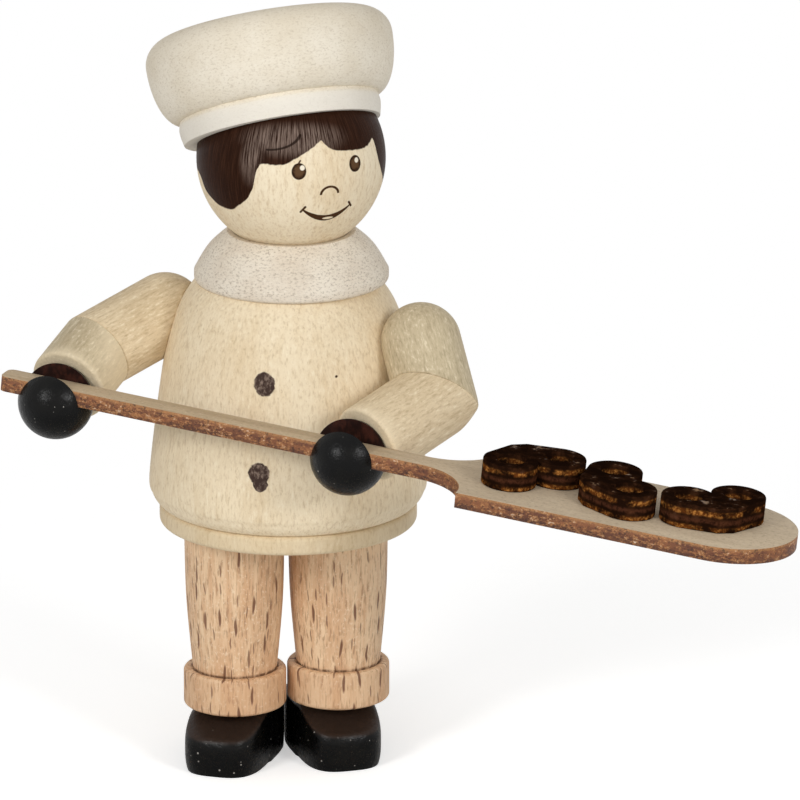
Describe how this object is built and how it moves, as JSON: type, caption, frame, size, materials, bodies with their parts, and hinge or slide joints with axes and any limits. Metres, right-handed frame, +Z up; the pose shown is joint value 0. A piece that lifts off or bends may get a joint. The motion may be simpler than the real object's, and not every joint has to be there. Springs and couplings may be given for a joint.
{
  "type": "miniature baker figurine",
  "caption": "Small turned-wood baker ornament in a soft cap and neckerchief, holding out a long flat peel with pretzels lying on its blade.",
  "frame": {"origin": "on the left shoe's sole, under that leg's axis", "axes": "+Z up, -Y the way the figure faces, +X to the figure's left"},
  "size_m": [0.059, 0.0418, 0.0599],
  "materials": {
    "hat": "turned, thin cream-white wash",
    "hat_dowel": "plain wooden peg, hidden",
    "head": "turned and waxed, hair and face painted dark brown",
    "neck_dowel": "plain wooden peg, hidden",
    "collar": "turned, thin white wash",
    "torso": "turned and waxed, two buttons painted dark brown",
    "left_shoulder_dowel": "plain wooden peg, hidden",
    "right_shoulder_dowel": "plain wooden peg, hidden",
    "left_upper_arm": "turned and waxed",
    "right_upper_arm": "turned and waxed",
    "left_forearm": "turned and waxed",
    "right_forearm": "turned and waxed",
    "left_hand": "satin black paint",
    "right_hand": "satin black paint",
    "left_leg": "turned beech, waxed",
    "right_leg": "turned beech, waxed",
    "left_shoe": "satin black paint",
    "right_shoe": "satin black paint",
    "peel": "bare plywood with a burnt edge",
    "pretzel_1": "plywood with a burnt edge, dark gloss stain",
    "pretzel_2": "plywood with a burnt edge, dark gloss stain",
    "pretzel_3": "plywood with a burnt edge, dark gloss stain"
  },
  "bodies": {
    "root": {"hat": "hat", "hat_dowel": "hat_dowel", "head": "head", "neck_dowel": "neck_dowel", "collar": "collar", "torso": "torso", "left_shoulder_dowel": "left_shoulder_dowel", "right_shoulder_dowel": "right_shoulder_dowel", "left_upper_arm": "left_upper_arm", "right_upper_arm": "right_upper_arm", "left_forearm": "left_forearm", "right_forearm": "right_forearm", "left_hand": "left_hand", "right_hand": "right_hand", "left_leg": "left_leg", "right_leg": "right_leg", "left_shoe": "left_shoe", "right_shoe": "right_shoe", "peel": "peel", "pretzel_1": "pretzel_1", "pretzel_2": "pretzel_2", "pretzel_3": "pretzel_3"}
  },
  "joints": []
}
